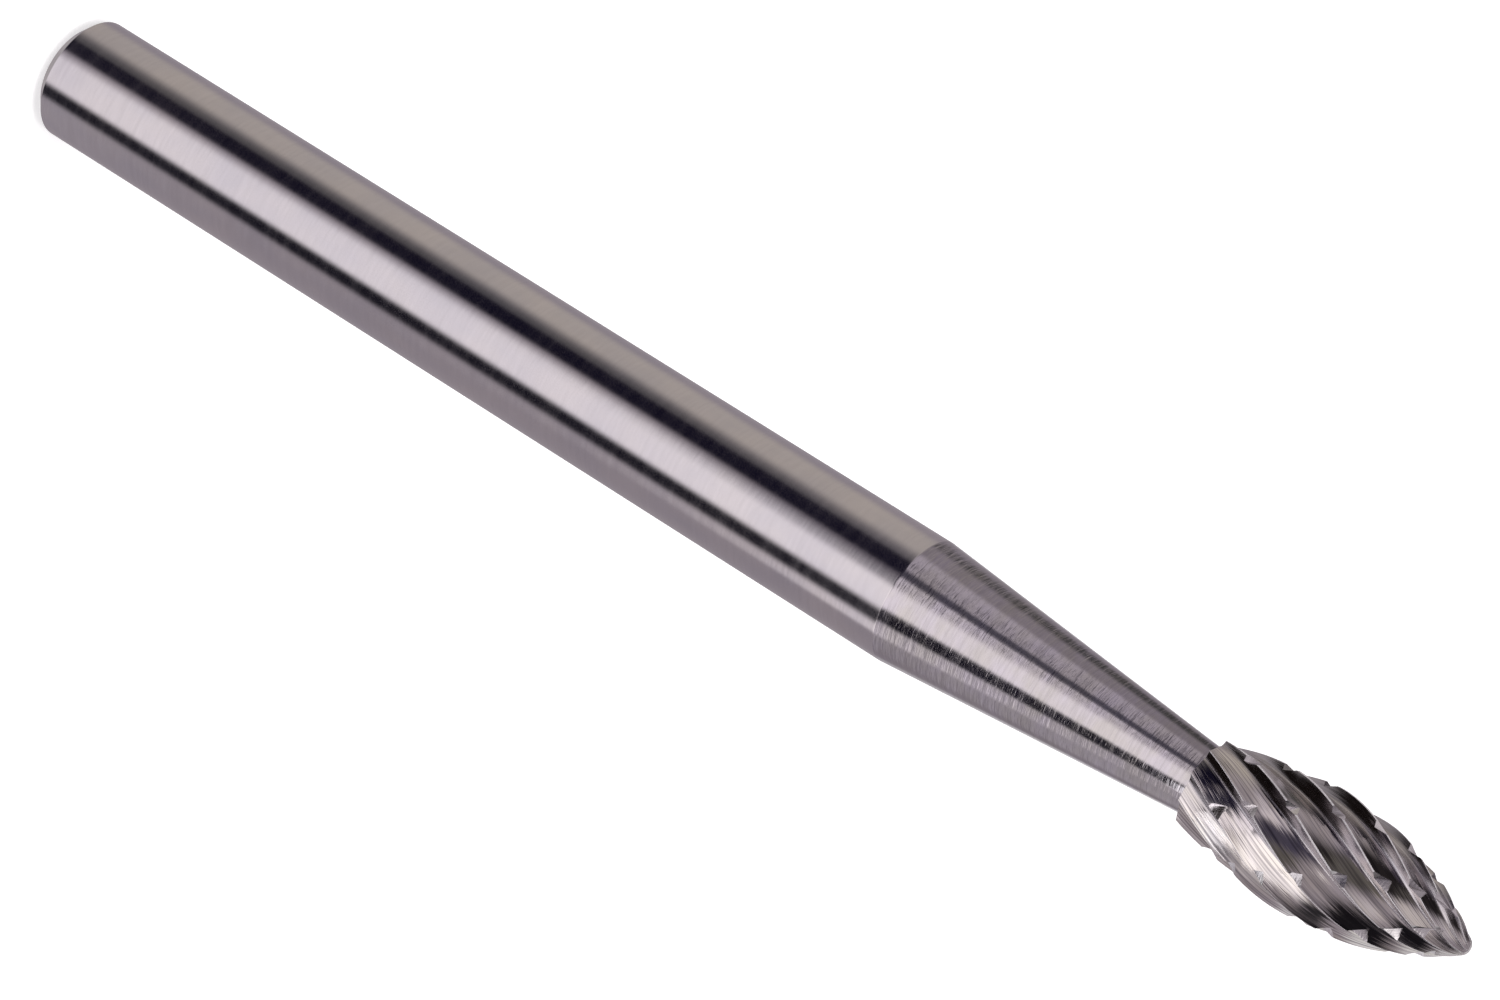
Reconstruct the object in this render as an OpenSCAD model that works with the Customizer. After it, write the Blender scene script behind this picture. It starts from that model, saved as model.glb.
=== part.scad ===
// Rotary burr in one piece of solid carbide: a ground shank, a tapered neck
// and a flame-shaped head with helical teeth and chip breakers.
// It stands on the flat end of its shank, with its axis on Z and its tip up.
// All sizes are in millimetres and degrees.

/* [Shank] */
// Diameter of the shank that the collet grips
shank_d = 3; // [2.2:0.05:6]
// Length of the straight shank, from its flat end to the neck
shank_len = 25.3; // [12:0.1:60]
// Chamfer round the flat end
shank_chamfer = 0.3; // [0.05:0.05:0.6]

/* [Neck] */
// Length of the taper from the shank to the head
neck_len = 7.85; // [3:0.1:20]
// Diameter of the neck where it meets the head
neck_d = 1.62; // [1:0.02:1.76]

/* [Head] */
// Length of the toothed head
head_len = 6.85; // [6:0.1:10]
// Largest diameter over the cutting edges
head_d = 2.95; // [2.6:0.05:4]
// Diameter over the cutting edges at the heel
heel_d = 2.1; // [2:0.02:2.4]
// Distance from the heel to the largest diameter
belly_at = 2.85; // [2:0.05:4]
// Radius along the body behind the largest diameter, before it turns into a cone
back_r = 6; // [2:0.1:12]
// Radius of the nose
nose_r = 0.24; // [0.15:0.01:0.4]

/* [Teeth] */
// Number of teeth, which cut to the right
tooth_count = 10; // [8:1:12]
// Right-hand helix angle of the teeth
tooth_helix = 25.5; // [10:0.5:30]
// Depth of the flutes at the largest diameter
flute_depth = 0.33; // [0.15:0.01:0.4]
// Depth of the flutes where they run out at the heel
heel_depth = 0.11; // [0.05:0.01:0.13]
// Length over which the flutes reach their full depth
runout_len = 1.8; // [0.5:0.1:3]
// Share of the tooth pitch that the flat relief behind the edge takes
relief_share = 0.74; // [0.6:0.01:0.78]

/* [Chip breakers] */
// Number of chip-breaker grooves
groove_count = 5; // [2:1:6]
// Left-hand helix angle of the grooves
groove_helix = 32; // [20:0.5:40]
// Turn of the first groove at the heel, from the edge of the first tooth
groove_turn = 43; // [0:1:72]
// Depth of the grooves below the cutting edges
groove_depth = 0.15; // [0.1:0.01:0.2]
// Width of the groove wall on the heel side
groove_back = 0.1; // [0.08:0.01:0.2]
// Width of the groove wall on the tip side
groove_front = 0.28; // [0.15:0.01:0.4]
// Distance from the heel to where the grooves start to cut
groove_start = 0.4; // [0:0.1:1.5]
// Length over which the grooves reach their full depth
groove_entry = 0.4; // [0.1:0.1:1.5]
// Length of the nose that the grooves leave plain
nose_plain = 0.55; // [0.3:0.05:2.5]

/* [Hidden] */
// Rings of points along the head, and how far they crowd towards the nose
head_rings = 60;
crowding = 1.25;
// Rings of points along a groove
groove_rings = 48;
// How far the neck reaches into the head, and a cut past the cutting edges
lap = 0.5;
clear = 0.05;

head_z = shank_len + neck_len;
groove_end = head_len - nose_plain;
belly_r = head_d / 2;
heel_r = heel_d / 2;
pitch = 360 / tooth_count;

// The flame outline over the cutting edges: a cone at the heel, an arc up to
// the belly, a longer arc towards the nose, and the nose itself
swell = belly_r - heel_r;
back_arc = min(back_r, (pow(belly_at, 2) + pow(swell, 2)) / (2 * swell));
back_reach = norm([belly_at, back_arc - swell]);
cone_angle = atan2(back_arc - swell, -belly_at) - acos(back_arc / back_reach) - 90;
cone_end = belly_at - back_arc * sin(cone_angle);
nose_at = head_len - nose_r;
front_arc = (pow(nose_at - belly_at, 2) + pow(belly_r, 2) - pow(nose_r, 2))
    / (2 * (belly_r - nose_r));
front_end = belly_at + front_arc * (nose_at - belly_at) / (front_arc - nose_r);

function on_arc(r, at, z) = sqrt(max(0, pow(r, 2) - pow(z - at, 2)));

function edge_r(z) =
    z < cone_end ? heel_r + z * tan(cone_angle)
    : z < belly_at ? belly_r - back_arc + on_arc(back_arc, belly_at, z)
    : z < front_end ? belly_r - front_arc + on_arc(front_arc, belly_at, z)
    : on_arc(nose_r, nose_at, z);

// Flutes are shallow at the heel and grow shallow again with the nose
function full_depth(z) = flute_depth * pow(edge_r(z) / belly_r, 1.5);
function flute(z) =
    let (share = min(1, z / runout_len))
    heel_depth + (full_depth(z) - heel_depth) * share;
// Grooves start at nothing and grow shallow again with the nose
function groove(z) =
    groove_depth * min(1, edge_r(z) / heel_r, (z - groove_start) / groove_entry);

// Turn of a helix on the head between two heights, in degrees
function turn(z0, z1, helix) =
    (z1 - z0) * tan(helix) / edge_r((z0 + z1) / 2) * 180 / PI;

head_stops = [for (i = [0:head_rings - 1])
    head_len * (1 - pow(1 - i / head_rings, crowding))];
head_turns = [for (i = 0, a = 0; i < head_rings; i = i + 1,
    a = i < head_rings ? a + turn(head_stops[i - 1], head_stops[i], tooth_helix) : a) a];

groove_stops = [for (i = [0:groove_rings])
    groove_start + (groove_end - groove_start) * i / groove_rings];
groove_turns = [for (i = 0, a = groove_turn - turn(0, groove_start, groove_helix);
    i <= groove_rings; i = i + 1,
    a = i <= groove_rings ? a - turn(groove_stops[i - 1], groove_stops[i], groove_helix) : a) a];

function polar(r, a, z) = [r * cos(a), r * sin(a), z];
function between(p, q, share) = p + (q - p) * share;

// One tooth at height z: its edge at angle a, the flat relief behind the edge,
// the rounded root, and the rake face up to the next edge
function tooth(z, a) =
    let (
        r = edge_r(z),
        d = flute(z),
        edge = polar(r, a, z),
        foot = polar(r - d * 0.96, a - pitch * relief_share, z),
        root = polar(r - d, a - pitch * (relief_share + 0.07), z),
        rake = polar(r - d * 0.66, a - pitch * (relief_share + 0.16), z)
    )
    [edge, between(edge, foot, 1 / 3), between(edge, foot, 2 / 3), foot, root, rake];

function head_ring(i) = [for (k = [0:tooth_count - 1])
    each tooth(head_stops[i], head_turns[i] - k * pitch)];

// One groove section at height z: its two rims in the air, with a crown
// between them, and its floor
function groove_ring(i) =
    let (
        z = groove_stops[i],
        a = groove_turns[i],
        r = edge_r(z),
        d = groove(z),
        spread = (d + clear) / groove_depth / cos(groove_helix) / r * 180 / PI
    )
    [
        polar(r + clear, a + groove_front * spread, z),
        polar(r + 2 * clear, a, z),
        polar(r + clear, a - groove_back * spread, z),
        polar(r - d, a, z)
    ];

// A closed skin over rings of points that run clockwise seen from above
module skin(rings, first, last) {
    n = len(rings[0]);
    top = len(rings) - 1;
    points = [for (r = rings) each r, first, last];
    sides = [for (i = [0:top - 1], j = [0:n - 1])
        let (a = i * n, b = a + n, j1 = (j + 1) % n)
        each [[a + j, a + j1, b + j1], [a + j, b + j1, b + j]]];
    bottom = [for (j = [0:n - 1]) [len(points) - 2, (j + 1) % n, j]];
    cap = [for (j = [0:n - 1]) [len(points) - 1, top * n + j, top * n + (j + 1) % n]];
    polyhedron(points, concat(sides, bottom, cap), convexity = 10);
}

module toothed_blank() {
    skin([for (i = [0:head_rings - 1]) head_ring(i)], [0, 0, 0], [0, 0, head_len]);
}

module chip_groove() {
    rings = [for (i = [0:groove_rings]) groove_ring(i)];
    start = rings[0];
    end = rings[groove_rings];
    skin(rings, between(start[1], start[3], 0.5), between(end[1], end[3], 0.5));
}

module head() {
    resize([0, 0, head_len])
        difference() {
            toothed_blank();
            for (i = [0:groove_count - 1]) {
                rotate([0, 0, i * 360 / groove_count])
                    chip_groove();
            }
        }
}

module shank_and_neck() {
    r = shank_d / 2;
    rotate_extrude($fn = 96)
        polygon([
            [0, 0],
            [r - shank_chamfer, 0],
            [r, shank_chamfer],
            [r, shank_len],
            [neck_d / 2, head_z],
            [neck_d / 2, head_z + lap],
            [0, head_z + lap]
        ]);
}

module burr() {
    color("#8c8d93")
        union() {
            shank_and_neck();
            translate([0, 0, head_z])
                head();
        }
}

burr();
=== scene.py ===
import math

import bpy
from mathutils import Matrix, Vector


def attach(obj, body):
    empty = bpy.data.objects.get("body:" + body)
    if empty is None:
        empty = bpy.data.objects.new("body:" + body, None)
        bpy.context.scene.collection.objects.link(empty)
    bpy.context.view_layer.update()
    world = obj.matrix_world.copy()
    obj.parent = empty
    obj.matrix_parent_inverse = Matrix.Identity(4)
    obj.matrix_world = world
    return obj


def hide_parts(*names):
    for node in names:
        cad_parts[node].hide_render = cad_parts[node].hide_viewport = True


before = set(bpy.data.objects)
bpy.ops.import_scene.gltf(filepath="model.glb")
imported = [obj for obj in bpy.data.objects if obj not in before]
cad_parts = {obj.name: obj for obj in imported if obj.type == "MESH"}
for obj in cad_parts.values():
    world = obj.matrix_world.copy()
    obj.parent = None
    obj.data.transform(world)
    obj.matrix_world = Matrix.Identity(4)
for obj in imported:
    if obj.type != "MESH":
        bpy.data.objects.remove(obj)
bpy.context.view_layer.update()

# The burr is modelled in millimetres and turned to metres once, at the end
MM = 0.001

# Shank and neck
SHANK_R = 1.5
SHANK_LEN = 25.3
SHANK_CHAMFER = 0.3
NECK_LEN = 7.85
NECK_R = 0.81
HEEL_AT = SHANK_LEN + NECK_LEN
# How far the neck reaches into the head
NECK_LAP = 0.5
# A ring this close to an edge keeps the edge from bending the shade of the long faces
CREASE = 0.03
ROUND_SIDES = 160

# Flame outline over the cutting edges
HEAD_LEN = 6.85
BELLY_R = 1.475
BELLY_AT = 2.85
HEEL_R = 1.05
BACK_ARC = 6.0
NOSE_R = 0.24

# Teeth
TEETH = 10
TOOTH_HELIX = math.radians(25.5)
FLUTE_DEPTH = 0.33
FLUTE_FADE = 1.5
HEEL_DEPTH = 0.11
RUNOUT = 1.8
# Where the relief ends and where the flute is drawn to, in shares of the pitch
RELIEF_SHARE = 0.74
ROOT_SHARE = 0.8
RAKE_SHARE = 0.9
# Their depths, in shares of the flute's depth
RELIEF_DROP = 0.96
ROOT_DROP = 1.08
RAKE_DROP = 0.82
# Width of the honed land at the edge, and its largest share of the flute's depth
EDGE_LAND = 0.05
LAND_SHARE = 0.12
RELIEF_STEPS = 6
FLUTE_STEPS = 8
HEAD_RINGS = 150
CROWDING = 1.25

# Chip breakers
GROOVES = 5
GROOVE_HELIX = math.radians(32)
GROOVE_TURN = math.radians(43)
GROOVE_DEPTH = 0.15
GROOVE_BACK = 0.1
GROOVE_FRONT = 0.28
GROOVE_START = 0.4
GROOVE_ENTRY = 0.4
GROOVE_END = 6.3
GROOVE_RINGS = 96
# Sides of the solid that cuts a groove, and how far it stands clear of the cutting edges
GROOVE_SIDES = 4
CLEAR = 0.05

# Points closer than this are one point, and edges flatter than this are smooth
MERGE = 0.0001
SMOOTH_ANGLE = math.radians(22)

# Camera: its place and turn, its lens and frame in millimetres, and its range in metres
CAMERA_AT = (121.967, 2.129, 78.258)
CAMERA_TURN = (-48.4254, -49.9320, -123.1949)
CAMERA_LENS = 147.36
CAMERA_FRAME = 36
CAMERA_RANGE = (0.01, 20)


# Outline of the flame and forms of the teeth

SWELL = BELLY_R - HEEL_R
CONE_ANGLE = (
    math.atan2(BACK_ARC - SWELL, -BELLY_AT)
    - math.acos(BACK_ARC / math.hypot(BELLY_AT, BACK_ARC - SWELL))
    - math.pi / 2
)
CONE_END = BELLY_AT - BACK_ARC * math.sin(CONE_ANGLE)
NOSE_AT = HEAD_LEN - NOSE_R
FRONT_ARC = ((NOSE_AT - BELLY_AT) ** 2 + BELLY_R**2 - NOSE_R**2) / (2 * (BELLY_R - NOSE_R))
FRONT_END = BELLY_AT + FRONT_ARC * (NOSE_AT - BELLY_AT) / (FRONT_ARC - NOSE_R)


def on_arc(radius, middle, z):
    return math.sqrt(max(0.0, radius**2 - (z - middle) ** 2))


def edge_radius(z):
    """Radius over the cutting edges at a height above the heel."""
    if z < CONE_END:
        return HEEL_R + z * math.tan(CONE_ANGLE)
    if z < BELLY_AT:
        return BELLY_R - BACK_ARC + on_arc(BACK_ARC, BELLY_AT, z)
    if z < FRONT_END:
        return BELLY_R - FRONT_ARC + on_arc(FRONT_ARC, BELLY_AT, z)
    return on_arc(NOSE_R, NOSE_AT, z)


def flute_depth(z):
    """The flutes are shallow at the heel and grow shallow again with the nose."""
    full = FLUTE_DEPTH * (edge_radius(z) / BELLY_R) ** FLUTE_FADE
    return HEEL_DEPTH + (full - HEEL_DEPTH) * min(1.0, z / RUNOUT)


def groove_depth(z):
    """The grooves start at nothing and grow shallow again with the nose."""
    entry = (z - GROOVE_START) / GROOVE_ENTRY
    return GROOVE_DEPTH * min(1.0, edge_radius(z) / HEEL_R, entry)


def helix_turns(stops, helix):
    """Turn of a helix on the head at each stop, from the first one."""
    turns = [0.0]
    for low, high in zip(stops, stops[1:]):
        rise = (high - low) * math.tan(helix)
        turns.append(turns[-1] + rise / edge_radius((low + high) / 2))
    return turns


def polar(radius, angle, z):
    return Vector((radius * math.cos(angle), radius * math.sin(angle), z))


def bezier(a, b, c, d, t):
    s = 1 - t
    return a * s**3 + b * 3 * s * s * t + c * 3 * s * t * t + d * t**3


def tooth_section(z, turn):
    """Points of one tooth at height z: its flat relief, the flute, and the land at the edge."""
    r = edge_radius(z)
    d = flute_depth(z)
    pitch = 2 * math.pi / TEETH
    edge = polar(r, turn, z)
    foot = polar(r - d * RELIEF_DROP, turn - pitch * RELIEF_SHARE, z)
    root = polar(r - d * ROOT_DROP, turn - pitch * ROOT_SHARE, z)
    rake = polar(r - d * RAKE_DROP, turn - pitch * RAKE_SHARE, z)
    next_edge = polar(r, turn - pitch, z)
    width = min(EDGE_LAND, d * LAND_SHARE)
    land = edge.lerp(foot, width / (edge - foot).length)
    relief = [land.lerp(foot, i / RELIEF_STEPS) for i in range(RELIEF_STEPS)]
    flute = [bezier(foot, root, rake, next_edge, i / FLUTE_STEPS) for i in range(FLUTE_STEPS)]
    top = next_edge.lerp(rake, width / (next_edge - rake).length)
    return relief + flute + [top]


# Modelling helpers

def select_only(piece):
    if bpy.context.mode != "OBJECT":
        bpy.ops.object.mode_set(mode="OBJECT")
    bpy.ops.object.select_all(action="DESELECT")
    piece.select_set(True)
    bpy.context.view_layer.objects.active = piece


def edit(piece):
    select_only(piece)
    bpy.ops.object.mode_set(mode="EDIT")
    bpy.ops.mesh.select_mode(type="VERT")


def wrapped_grid(name, across, along, place, spread, finish, finishes):
    """A grid closed round and merged at its seam.

    place(i, j) gives the place of a vertex, spread(i, j) its place on the UV map,
    and finish(i) the number of the material of a column of faces.
    """
    bpy.ops.object.select_all(action="DESELECT")
    bpy.ops.mesh.primitive_grid_add(x_subdivisions=across, y_subdivisions=along, size=1)
    piece = bpy.context.object
    piece.name = name
    for material in finishes:
        piece.data.materials.append(material)
    for corner in piece.data.uv_layers.active.data:
        i = round(corner.uv.x * across)
        j = round(corner.uv.y * along)
        corner.uv = spread(i, j)
    for face in piece.data.polygons:
        face.material_index = finish(int((face.center.x + 0.5) * across))
    for vertex in piece.data.vertices:
        i = round((vertex.co.x + 0.5) * across)
        j = round((vertex.co.y + 0.5) * along)
        vertex.co = place(i, j)
    edit(piece)
    bpy.ops.mesh.select_all(action="SELECT")
    bpy.ops.mesh.remove_doubles(threshold=MERGE)
    bpy.ops.mesh.select_all(action="DESELECT")
    bpy.ops.mesh.select_non_manifold(extend=False)
    bpy.ops.mesh.edge_face_add()
    bpy.ops.mesh.select_all(action="SELECT")
    bpy.ops.mesh.normals_make_consistent(inside=False)
    bpy.ops.object.mode_set(mode="OBJECT")
    return piece


def boolean(piece, other, operation):
    """Cut with the other piece or join it, and take the other piece away."""
    select_only(piece)
    cut = piece.modifiers.new("cut", "BOOLEAN")
    cut.operation = operation
    cut.solver = "EXACT"
    cut.material_mode = "TRANSFER"
    cut.object = other
    bpy.ops.object.modifier_apply(modifier=cut.name)
    bpy.data.objects.remove(other)


# Materials

# Values of the noise that are spread over a finish's full range
MARK_SPAN = (0.3, 0.7)
PATCH_SPAN = (0.35, 0.65)


def link(tree, source, target):
    tree.links.new(source, target)


def grain(tree, coords, stretch, detail):
    """Noise of the given cells a unit along each axis of the coordinates."""
    placed = tree.nodes.new("ShaderNodeMapping")
    placed.inputs["Scale"].default_value = stretch
    link(tree, coords, placed.inputs["Vector"])
    noise = tree.nodes.new("ShaderNodeTexNoise")
    noise.inputs["Scale"].default_value = 1.0
    noise.inputs["Detail"].default_value = detail
    noise.inputs["Roughness"].default_value = 0.6
    link(tree, placed.outputs[0], noise.inputs["Vector"])
    return noise.outputs["Fac"]


def spread_range(tree, value, source, target):
    node = tree.nodes.new("ShaderNodeMapRange")
    node.inputs["From Min"].default_value = source[0]
    node.inputs["From Max"].default_value = source[1]
    node.inputs["To Min"].default_value = target[0]
    node.inputs["To Max"].default_value = target[1]
    link(tree, value, node.inputs["Value"])
    return node.outputs["Result"]


def blend(tree, share, first, second):
    mix = tree.nodes.new("ShaderNodeMix")
    mix.data_type = "RGBA"
    link(tree, share, mix.inputs[0])
    for socket, colour in ((mix.inputs[6], first), (mix.inputs[7], second)):
        if isinstance(colour, tuple):
            socket.default_value = (*colour, 1)
        else:
            link(tree, colour, socket)
    return mix.outputs[2]


def ground_metal(name, space, tints, mottle, streaks, shine, cuts, metallic=1.0):
    """Sintered carbide with the marks of its grinding, in tints that some finishes set paler or
    darker than the carbide, as painted light and painted shade.

    The tints are the metal, its patches and the lines in it. Mottle is the stretch of
    the patches, streaks the least and most of the lines, shine the least and most
    roughness. Each cut is a stretch of the grain and its depth in metres.
    """
    metal = bpy.data.materials.new(name)
    metal.use_nodes = True
    tree = metal.node_tree
    shader = tree.nodes["Principled BSDF"]
    shader.inputs["Metallic"].default_value = metallic
    coords = tree.nodes.new("ShaderNodeTexCoord").outputs[space]
    normal = None
    marks = []
    for stretch, depth in cuts:
        marks.append(grain(tree, coords, stretch, 3.0))
        bump = tree.nodes.new("ShaderNodeBump")
        bump.inputs["Strength"].default_value = 1.0
        bump.inputs["Distance"].default_value = depth
        link(tree, marks[-1], bump.inputs["Height"])
        if normal:
            link(tree, normal, bump.inputs["Normal"])
        normal = bump.outputs["Normal"]
    link(tree, normal, shader.inputs["Normal"])
    roughness = spread_range(tree, marks[0], MARK_SPAN, shine)
    link(tree, roughness, shader.inputs["Roughness"])
    patches = spread_range(tree, grain(tree, coords, mottle, 2.0), PATCH_SPAN, (0.0, 1.0))
    lines = spread_range(tree, marks[-1], MARK_SPAN, streaks)
    tint = blend(tree, patches, tints[0], tints[1])
    link(tree, blend(tree, lines, tint, tints[2]), shader.inputs["Base Color"])
    return metal


GREY = (0.65, 0.61, 0.63)
COOL = (0.6, 0.57, 0.61)
TOOTH_GREY = (0.72, 0.675, 0.69)
TOOTH_WARM = (0.74, 0.69, 0.65)
# The neck's tints are darker than the shank's grey: painted shade on the neck
NECK_SHADED_GREY = (0.49, 0.455, 0.51)
NECK_SHADED_WARM = (0.46, 0.43, 0.44)
DARK = (0.34, 0.32, 0.34)
TOOTH_DARK = (0.25, 0.23, 0.25)
# Tints paler than the carbide: painted light on the honed edges and the notch facets
PAINTED_LIGHT_WHITE = (0.93, 0.9, 0.92)
PAINTED_LIGHT_PALE = (0.8, 0.77, 0.8)

# Stretches are in cells a metre on Object coordinates. On the UV map they are in cells
# a tooth pitch, or a groove's wall, and in cells a millimetre along the head.
ground_shank = ground_metal(
    "ground_shank",
    "Object",
    (GREY, COOL, DARK),
    mottle=(900, 900, 450),
    streaks=(0.0, 0.12),
    shine=(0.12, 0.17),
    cuts=[((700, 700, 5000), 0.4e-6), ((1200, 1200, 12000), 0.3e-6)],
)
# The neck's grain is real; its darker tints are painted shade
ground_neck_painted_shade = ground_metal(
    "ground_neck_painted_shade",
    "Object",
    (NECK_SHADED_GREY, NECK_SHADED_WARM, DARK),
    mottle=(1300, 1300, 1800),
    streaks=(-0.2, 0.5),
    shine=(0.09, 0.16),
    cuts=[((900, 900, 6000), 5e-6), ((1500, 1500, 15000), 3.5e-6)],
)
tooth_face = ground_metal(
    "tooth_face",
    "UV",
    (TOOTH_GREY, TOOTH_WARM, TOOTH_DARK),
    mottle=(3.0, 0.9, 1.0),
    streaks=(-0.7, 1.1),
    shine=(0.05, 0.1),
    cuts=[((5.0, 0.5, 1.0), 8e-6), ((13.0, 0.35, 1.0), 8e-6), ((24.0, 0.3, 1.0), 3e-6)],
)
# The flutes take the shank's grey, darker than the tooth faces: painted shade in the recesses.
# The lines in it are grinding marks
flute_face_painted_shade = ground_metal(
    "flute_face_painted_shade",
    "UV",
    (GREY, COOL, DARK),
    mottle=(4.0, 1.0, 1.0),
    streaks=(0.0, 0.6),
    shine=(0.08, 0.16),
    cuts=[((14.0, 0.5, 1.0), 5e-6), ((30.0, 0.8, 1.0), 3e-6)],
)
# The honed edges: a near-white, partly matt tint that the wide lamp lights, a painted highlight
# along every cutting edge
edge_painted_highlight = ground_metal(
    "edge_painted_highlight",
    "UV",
    (PAINTED_LIGHT_WHITE, PAINTED_LIGHT_PALE, GREY),
    mottle=(2.0, 2.0, 1.0),
    streaks=(0.0, 0.2),
    shine=(0.35, 0.5),
    cuts=[((1.0, 5.0, 1.0), 1e-6)],
    metallic=0.3,
)
# The notch facets are paler than the carbide elsewhere, painted light; their rougher grind and
# its lines are real
notch_painted_light = ground_metal(
    "notch_painted_light",
    "UV",
    (PAINTED_LIGHT_PALE, PAINTED_LIGHT_WHITE, GREY),
    mottle=(1.0, 3.0, 1.0),
    streaks=(0.0, 0.5),
    shine=(0.2, 0.32),
    cuts=[((9.0, 3.0, 1.0), 2e-6)],
)


# Pieces

def toothed_head():
    """The toothed flame, with its heel on z = 0."""
    stops = [HEAD_LEN * (1 - (1 - j / HEAD_RINGS) ** CROWDING) for j in range(HEAD_RINGS + 1)]
    turns = helix_turns(stops, TOOTH_HELIX)
    steps = RELIEF_STEPS + FLUTE_STEPS + 1
    rings = []
    for j in range(HEAD_RINGS):
        ring = []
        for k in range(TEETH):
            ring += tooth_section(stops[j], turns[j] - k * 2 * math.pi / TEETH)
        rings.append(ring)

    def place(i, j):
        if j == HEAD_RINGS:
            return Vector((0, 0, HEAD_LEN))
        return rings[j][i % (steps * TEETH)]

    def spread(i, j):
        return (i / steps, stops[j])

    def finish(i):
        step = i % steps
        if step < RELIEF_STEPS:
            return 0
        return 2 if step == steps - 1 else 1

    finishes = [tooth_face, flute_face_painted_shade, edge_painted_highlight]
    return wrapped_grid("head", steps * TEETH, HEAD_RINGS, place, spread, finish, finishes)


def chip_groove(number):
    """The solid that cuts one left-hand chip-breaker groove."""
    length = GROOVE_END - GROOVE_START
    stops = [GROOVE_START + length * j / GROOVE_RINGS for j in range(GROOVE_RINGS + 1)]
    start = helix_turns([0.0, GROOVE_START], GROOVE_HELIX)[-1]
    turns = helix_turns(stops, GROOVE_HELIX)

    def place(i, j):
        z = stops[j]
        turn = GROOVE_TURN + number * 2 * math.pi / GROOVES - start - turns[j]
        r = edge_radius(z)
        d = groove_depth(z)
        # Turn at the rims for each millimetre of a wall's width
        rim_turn = (d + CLEAR) / GROOVE_DEPTH / math.cos(GROOVE_HELIX) / r
        corner = i % GROOVE_SIDES
        if corner == 0:
            return polar(r + CLEAR, turn + GROOVE_FRONT * rim_turn, z)
        if corner == 1:
            return polar(r + 2 * CLEAR, turn, z)
        if corner == 2:
            return polar(r + CLEAR, turn - GROOVE_BACK * rim_turn, z)
        return polar(r - d, turn, z)

    def spread(i, j):
        return (i, stops[j])

    def finish(i):
        return 0

    return wrapped_grid("groove", GROOVE_SIDES, GROOVE_RINGS, place, spread, finish, [notch_painted_light])


def shank_and_neck():
    """The ground shank with its chamfered end, and the neck that runs into the head."""
    bpy.ops.object.select_all(action="DESELECT")
    flat_r = SHANK_R - SHANK_CHAMFER
    bpy.ops.mesh.primitive_circle_add(vertices=ROUND_SIDES, radius=flat_r, fill_type="NGON")
    shank = bpy.context.object
    shank.name = "shank"
    edit(shank)
    bpy.ops.mesh.select_all(action="SELECT")
    neck_slope = (SHANK_R - NECK_R) / NECK_LEN
    rings = [
        (SHANK_CHAMFER, SHANK_R),
        (SHANK_CHAMFER + CREASE, SHANK_R),
        (SHANK_LEN - CREASE, SHANK_R),
        (SHANK_LEN, SHANK_R),
        (SHANK_LEN + CREASE, SHANK_R - CREASE * neck_slope),
        (HEEL_AT, NECK_R),
        (HEEL_AT + NECK_LAP, NECK_R),
    ]
    height = 0.0
    radius = flat_r
    for ring_height, ring_radius in rings:
        bpy.ops.mesh.extrude_region_move(
            TRANSFORM_OT_translate={"value": (0, 0, ring_height - height)}
        )
        share = ring_radius / radius
        bpy.ops.transform.resize(value=(share, share, 1), center_override=(0, 0, ring_height))
        height = ring_height
        radius = ring_radius
    bpy.ops.mesh.select_all(action="SELECT")
    bpy.ops.mesh.normals_make_consistent(inside=False)
    bpy.ops.object.mode_set(mode="OBJECT")
    shank.data.materials.append(ground_shank)
    shank.data.materials.append(ground_neck_painted_shade)
    for face in shank.data.polygons:
        face.material_index = 1 if face.center.z > SHANK_LEN else 0
    return shank


def whole_burr():
    """The toothed head with its chip breakers, joined to the neck."""
    head = toothed_head()
    for number in range(GROOVES):
        boolean(head, chip_groove(number), "DIFFERENCE")
    select_only(head)
    bpy.ops.transform.translate(value=(0, 0, HEEL_AT))
    bpy.ops.object.transform_apply(location=True, rotation=False, scale=False)
    burr = shank_and_neck()
    boolean(burr, head, "UNION")
    # The many-sided faces along the grooves are split here, so that none folds over later
    select_only(burr)
    triangles = burr.modifiers.new("triangles", "TRIANGULATE")
    bpy.ops.object.modifier_apply(modifier=triangles.name)
    burr.name = "ground_burr"
    select_only(burr)
    bpy.ops.transform.resize(value=(MM, MM, MM), center_override=(0, 0, 0))
    bpy.ops.object.transform_apply(location=False, rotation=False, scale=True)
    bpy.ops.object.shade_smooth_by_angle(angle=SMOOTH_ANGLE)
    return burr


burr = whole_burr()

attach(burr, "root")
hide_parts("burr")

# Floor: white to the camera, with the burr's shadow, and out of the metal's sight
FLOOR_SIDE = 6
FLOOR_WHITE = (0.9, 0.9, 0.9, 1)
FLOOR_LIFT = 0.6

bpy.ops.object.select_all(action="DESELECT")
bpy.ops.mesh.primitive_plane_add(size=FLOOR_SIDE)
floor = bpy.context.object
floor.name = "floor"
floor.visible_glossy = False
paint = bpy.data.materials.new("floor_white")
paint.use_nodes = True
nodes = paint.node_tree.nodes
links = paint.node_tree.links
nodes.clear()
out = nodes.new("ShaderNodeOutputMaterial")
add = nodes.new("ShaderNodeAddShader")
diffuse = nodes.new("ShaderNodeBsdfDiffuse")
diffuse.inputs["Color"].default_value = FLOOR_WHITE
glow = nodes.new("ShaderNodeEmission")
rays = nodes.new("ShaderNodeLightPath")
lift = nodes.new("ShaderNodeMath")
lift.operation = "MULTIPLY"
lift.inputs[1].default_value = FLOOR_LIFT
links.new(rays.outputs["Is Camera Ray"], lift.inputs[0])
links.new(lift.outputs[0], glow.inputs["Strength"])
links.new(diffuse.outputs[0], add.inputs[0])
links.new(glow.outputs[0], add.inputs[1])
links.new(add.outputs[0], out.inputs["Surface"])
floor.data.materials.append(paint)

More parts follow.
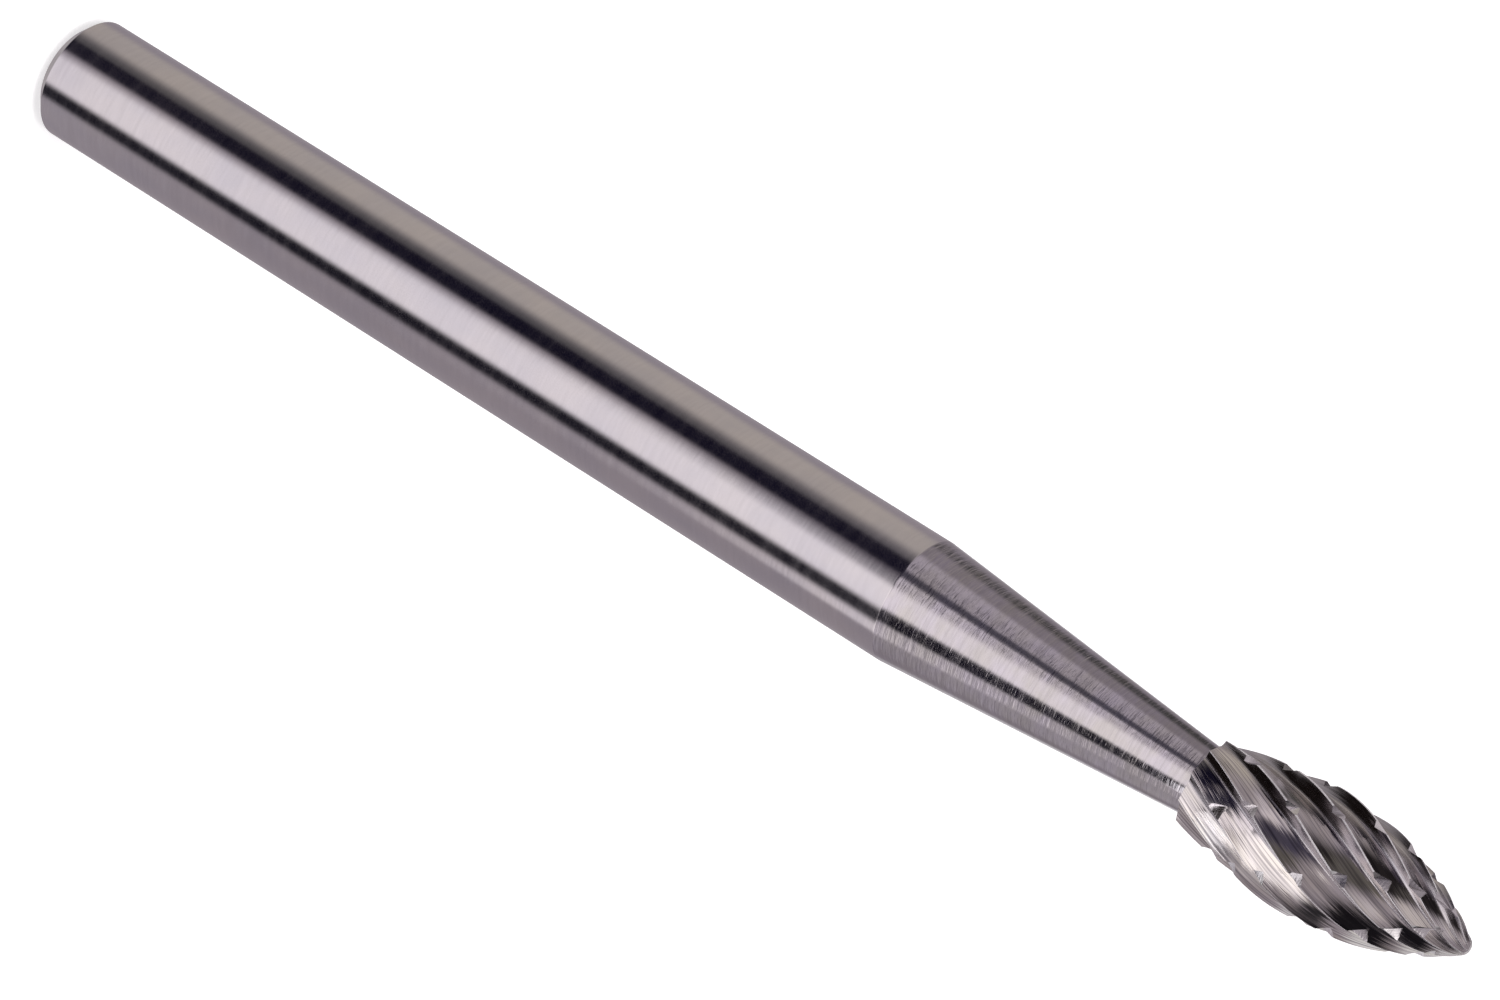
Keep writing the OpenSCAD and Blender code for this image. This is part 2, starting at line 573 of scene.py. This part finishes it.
# Studio
# Each panel, seen from the burr: azimuth and elevation, half width and half height,
# the softness of its sides and of its top and bottom, and its tilt, all in degrees,
# then its brightness and tint
PANELS = [
    ("under", (0, -90), (400, 44), (5, 4), 0, 0.45, (1.03, 0.97, 0.98)),
    ("under_flag", (28, -58), (95, 13.5), (25, 3), 0, 0.008, (1.3, 0.95, 0.85)),
    ("warm_low", (-85, -40), (35, 6), (8, 3), 0, 0.3, (1.05, 0.97, 0.88)),
    ("flute_gap", (15, -42), (38, 4.5), (15, 1.5), 0, 0.07, (1.05, 0.93, 1.0)),
    ("low_box", (97, -38.7), (45, 5), (22, 1.5), 0, 0.6, (1.0, 0.97, 1.02)),
    ("warm_wall", (-94, -28), (30, 9), (14, 5), 0, 0.52, (1.05, 0.97, 0.88)),
    ("neck_wall", (-51, -14), (20, 4.5), (6, 1.5), 0, 0.68, (1.03, 0.95, 1.0)),
    ("neck_side", (95, -13), (34, 4.5), (8, 1.5), 0, 0.58, (1.02, 0.96, 1.0)),
    ("edge_gap", (-119, -14), (15, 4.5), (9, 3), 0, 0.09, (1.0, 0.98, 0.95)),
    ("left_flag", (-95, 16), (40, 13), (8, 6), 5, 0.02, (1.05, 0.9, 0.95)),
    ("high_box", (-40, 38), (34, 11), (8, 5), 0, 0.6, (1.02, 0.95, 0.97)),
    ("right_flag", (52, 29), (36, 17), (10, 5), 0, 0.012, (1.0, 0.9, 1.15)),
    ("right_low", (73, 6), (13, 6), (6, 3), 0, 0.03, (1.0, 0.95, 1.05)),
    ("right_warm", (95, 40), (14, 10), (6, 6), 0, 0.2, (1.02, 0.97, 0.92)),
    ("far_box", (125, 12), (18, 20), (6, 6), 10, 0.8, (1.0, 1.0, 1.0)),
    ("backdrop", (176, 4), (24, 24), (9, 5), 0, 1.1, (1.0, 1.0, 1.0)),
    ("upper_dark", (-46, 12), (24, 10), (9, 4), 0, 0.12, (1.05, 0.97, 0.9)),
    ("left_dark", (-42, -3), (24, 6), (9, 3), 0, 0.07, (1.0, 0.9, 1.3)),
    ("flag_shade", (-56, -29), (12, 7), (14, 3), 0, 0.1, (1.0, 0.97, 1.0)),
    ("main_box", (18, -28), (32, 8.5), (10, 2), 0, 1.06, (1.02, 0.98, 1.0)),
    ("neck_glow", (-6, -12.5), (14, 3.7), (4, 1), 0, 1.05, (1.02, 0.96, 1.0)),
    ("hot_box", (30, -8.5), (31, 12.5), (9, 2.5), 0, 1.42, (1.02, 0.98, 0.96)),
    ("edge_box", (66, -20), (23, 4.3), (5, 1), 0, 1.2, (1.02, 0.97, 0.97)),
    ("thin_flag", (-27, -13), (6.5, 5.5), (3.5, 1.5), 0, 0.13, (1.0, 0.94, 1.15)),
    ("mid_flag", (-26, -20.6), (25, 3.9), (7, 1.2), 0, 0.02, (1.0, 0.85, 1.9)),
    ("low_gap", (57, -29.5), (13, 9), (7, 0.6), 0, 0.012, (1.0, 0.9, 1.5)),
    ("high_gap", (51, -13.5), (12.5, 6), (5, 1.2), 0, 0.012, (1.0, 0.9, 1.8)),
    ("black_flag", (-38, -29), (14, 8), (5, 2), 0, 0.008, (1.0, 0.85, 2.2)),
]
WALL = 0.36
WALL_TINT = (1.03, 0.93, 1.0)

world = bpy.data.worlds.new("studio")
bpy.context.scene.world = world
world.use_nodes = True
sky = world.node_tree
sky.nodes.clear()


def math_node(tree, operation, *values):
    node = tree.nodes.new("ShaderNodeMath")
    node.operation = operation
    for socket, value in zip(node.inputs, values):
        if isinstance(value, (int, float)):
            socket.default_value = value
        else:
            tree.links.new(value, socket)
    return node.outputs[0]


def soft_step(tree, value, middle, soft):
    """One inside the middle value and zero outside it, with a soft change between."""
    node = tree.nodes.new("ShaderNodeMapRange")
    node.interpolation_type = "SMOOTHSTEP"
    tree.links.new(value, node.inputs["Value"])
    node.inputs["From Min"].default_value = middle + soft
    node.inputs["From Max"].default_value = middle - soft
    return node.outputs["Result"]


def tilted(tree, operation, main, other, tilt):
    """A panel's own axis, where the panel is tilted by some degrees."""
    along = math_node(tree, "MULTIPLY", main, math.cos(math.radians(tilt)))
    aslant = math_node(tree, "MULTIPLY", other, math.sin(math.radians(tilt)))
    return math_node(tree, operation, along, aslant)


direction = sky.nodes.new("ShaderNodeTexCoord").outputs["Generated"]
parts = sky.nodes.new("ShaderNodeSeparateXYZ")
sky.links.new(direction, parts.inputs[0])
bearing = math_node(sky, "ARCTAN2", parts.outputs["Y"], parts.outputs["X"])
azimuth = math_node(sky, "DEGREES", bearing)
elevation = math_node(sky, "DEGREES", math_node(sky, "ARCSINE", parts.outputs["Z"]))
light = sky.nodes.new("ShaderNodeRGB").outputs[0]
light.default_value = [WALL * c for c in WALL_TINT] + [1]
for name, (at, up), (half_wide, half_high), (soft_side, soft_top), tilt, level, tint in PANELS:
    turn = math_node(sky, "WRAP", math_node(sky, "SUBTRACT", azimuth, float(at)), 180.0, -180.0)
    rise = math_node(sky, "SUBTRACT", elevation, float(up))
    wide = tilted(sky, "ADD", turn, rise, tilt)
    high = tilted(sky, "SUBTRACT", rise, turn, tilt)
    across = soft_step(sky, math_node(sky, "ABSOLUTE", wide), half_wide, soft_side)
    upright = soft_step(sky, math_node(sky, "ABSOLUTE", high), half_high, soft_top)
    mask = math_node(sky, "MULTIPLY", across, upright)
    mix = sky.nodes.new("ShaderNodeMix")
    mix.data_type = "RGBA"
    mix.name = name
    sky.links.new(mask, mix.inputs[0])
    sky.links.new(light, mix.inputs[6])
    mix.inputs[7].default_value = [level * c for c in tint] + [1]
    light = mix.outputs[2]
white = sky.nodes.new("ShaderNodeMix")
white.data_type = "RGBA"
sky_rays = sky.nodes.new("ShaderNodeLightPath")
sky.links.new(sky_rays.outputs["Is Camera Ray"], white.inputs[0])
sky.links.new(light, white.inputs[6])
white.inputs[7].default_value = (1, 1, 1, 1)
background = sky.nodes.new("ShaderNodeBackground")
sky.links.new(white.outputs[2], background.inputs["Color"])
sky_out = sky.nodes.new("ShaderNodeOutputWorld")
sky.links.new(background.outputs[0], sky_out.inputs["Surface"])

# A wide lamp above, in metres and watts. It lights what is matt, the floor and a share
# of the honed edges, and no reflection shows it
WIDE_LAMP_AT = (0.15, -0.1, 0.5)
WIDE_LAMP_SIDE = 0.4
WIDE_LAMP_POWER = 1.5

bpy.ops.object.light_add(type="AREA", location=WIDE_LAMP_AT)
lamp = bpy.context.object
lamp.data.size = WIDE_LAMP_SIDE
lamp.data.energy = WIDE_LAMP_POWER
lamp.visible_glossy = False

# A small lamp close beside the head, in millimetres and watts. Its back faces the way that
# is given. It shows only in reflections, most of all in the tooth nearest to it
SMALL_LAMP_AT = Vector((3.0, 3.7, 33.8))
SMALL_LAMP_BACK = Vector((0.608, 0.751, -0.257))
SMALL_LAMP_SIDES = (1.45, 3.5)
SMALL_LAMP_POWER = 2.1e-5

bpy.ops.object.light_add(type="AREA", location=SMALL_LAMP_AT * MM)
small_lamp = bpy.context.object
small_lamp.rotation_euler = SMALL_LAMP_BACK.to_track_quat("Z", "Y").to_euler()
small_lamp.data.shape = "RECTANGLE"
small_lamp.data.size = SMALL_LAMP_SIDES[0] * MM
small_lamp.data.size_y = SMALL_LAMP_SIDES[1] * MM
small_lamp.data.energy = SMALL_LAMP_POWER
small_lamp.visible_camera = False
small_lamp.visible_diffuse = False

# Camera
bpy.ops.object.camera_add(
    location=[c * MM for c in CAMERA_AT],
    rotation=[math.radians(c) for c in CAMERA_TURN],
)
camera = bpy.context.object
camera.data.lens = CAMERA_LENS
camera.data.sensor_width = CAMERA_FRAME
camera.data.clip_start = CAMERA_RANGE[0]
camera.data.clip_end = CAMERA_RANGE[1]
bpy.context.scene.camera = camera

bpy.context.scene.view_settings.view_transform = "Standard"
bpy.context.view_layer.update()
